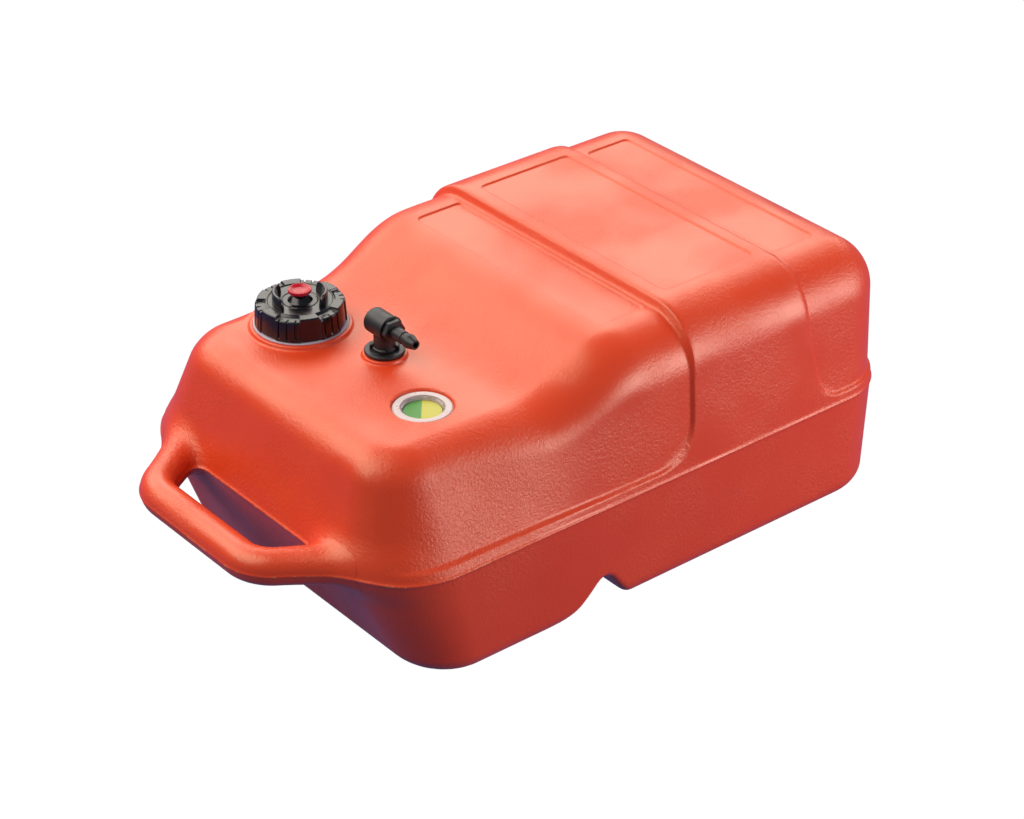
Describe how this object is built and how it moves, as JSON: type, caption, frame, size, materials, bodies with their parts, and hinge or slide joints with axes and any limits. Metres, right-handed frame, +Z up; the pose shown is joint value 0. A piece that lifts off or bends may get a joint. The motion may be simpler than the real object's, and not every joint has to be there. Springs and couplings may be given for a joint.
{
  "type": "outboard fuel tank",
  "caption": "Portable blow-moulded outboard fuel tank with moulded carrying handle, vented screw cap, swivelling hose outlet and float gauge.",
  "frame": {"origin": "on the ground, under the middle of the bounding box", "axes": "+X along the tank towards the rear (the handle is at -X), +Y across it towards the filler, +Z up"},
  "size_m": [0.6762, 0.3994, 0.261],
  "materials": {
    "tank_plastic": "satin orange-red polyethylene with a fine moulded grain",
    "natural_plastic": "natural milky polyethylene",
    "black_plastic": "glossy black moulding",
    "red_plastic": "glossy red moulding",
    "seal_rubber": "black fuel-proof rubber",
    "fitting_plastic": "satin black nylon",
    "strainer_plastic": "matt black nylon",
    "frosted_plastic": "milky translucent ring",
    "clear_plastic": "clear moulded window",
    "dial_print": "printed disc, one half green and one half yellow",
    "strip_metal": "plain twisted strip",
    "float_foam": "closed-cell black foam"
  },
  "bodies": {
    "tank": {"tank_shell": "tank_plastic", "filler_neck": "natural_plastic", "outlet_base": "fitting_plastic", "outlet_gasket": "seal_rubber", "pickup_tube": "natural_plastic", "pickup_filter": "strainer_plastic", "gauge_housing": "frosted_plastic", "gauge_lens": "clear_plastic", "gauge_gasket": "seal_rubber", "gauge_guide": "strainer_plastic"},
    "cap_seal": {"cap_gasket": "seal_rubber"},
    "cap": {"filler_cap": "black_plastic"},
    "vent_seal": {"vent_washer": "seal_rubber"},
    "knob": {"vent_knob": "red_plastic"},
    "outlet": {"outlet_elbow": "fitting_plastic", "elbow_oring": "seal_rubber", "hose_nipple": "fitting_plastic", "nipple_washer": "seal_rubber"},
    "dial": {"gauge_dial": "dial_print", "gauge_stem": "strip_metal"},
    "float": {"float_body": "float_foam"}
  },
  "joints": [
    {"name": "cap_lift", "type": "slide", "parent": "tank", "child": "cap_seal", "axis": [0, 0, 1], "range_m": [0, 0.009]},
    {"name": "cap_turn", "type": "hinge", "parent": "cap_seal", "child": "cap", "pos_m": [-0.14685, 0.09, 0.23], "axis": [0, 0, 1], "range_deg": [0, 540]},
    {"name": "vent_lift", "type": "slide", "parent": "cap", "child": "vent_seal", "axis": [0, 0, 1], "range_m": [0, 0.002]},
    {"name": "vent_turn", "type": "hinge", "parent": "vent_seal", "child": "knob", "pos_m": [-0.14685, 0.09, 0.24], "axis": [0, 0, 1], "range_deg": [0, 360]},
    {"name": "outlet_swivel", "type": "hinge", "parent": "tank", "child": "outlet", "pos_m": [-0.11985, 0, 0.22], "axis": [0, 0, 1], "continuous": true},
    {"name": "float_slide", "type": "slide", "parent": "tank", "child": "float", "axis": [0, 0, 1], "range_m": [-0.075, 0.075]},
    {"name": "dial_turn", "type": "hinge", "parent": "tank", "child": "dial", "pos_m": [-0.14685, -0.09, 0.2], "axis": [0, 0, 1], "range_deg": [-82.6, 82.6]}
  ],
  "couplings": [
    {"joint": "cap_lift", "follows": "cap_turn", "m_per_rad": 0.00095492},
    {"joint": "vent_lift", "follows": "vent_turn", "m_per_rad": 0.0003183},
    {"joint": "dial_turn", "follows": "float_slide", "rad_per_m": -19.199}
  ]
}
